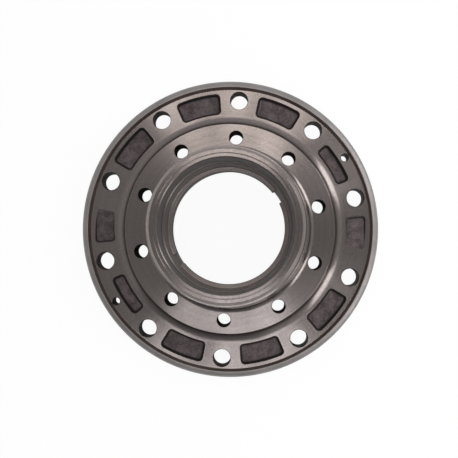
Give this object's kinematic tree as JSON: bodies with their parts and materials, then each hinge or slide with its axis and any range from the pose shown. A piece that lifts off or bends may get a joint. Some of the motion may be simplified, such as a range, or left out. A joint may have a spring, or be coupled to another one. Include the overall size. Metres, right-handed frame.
{
  "type": "wheel hub",
  "caption": "Heavy truck wheel hub: a drilled wheel flange with cast pockets, a raised disc seat and a tapered barrel with stepped bearing seats.",
  "frame": {"origin": "on the axis, at the end of the cap boss that the hub stands on", "axes": "+Z along the axis, from the wheel side towards the bearing barrel; X through the two locating holes"},
  "size_m": [0.3849, 0.385, 0.193],
  "materials": {
    "turned_iron": "turned and bare, with as-cast pockets"
  },
  "bodies": {
    "root": {"wheel_hub": "turned_iron"}
  },
  "joints": []
}
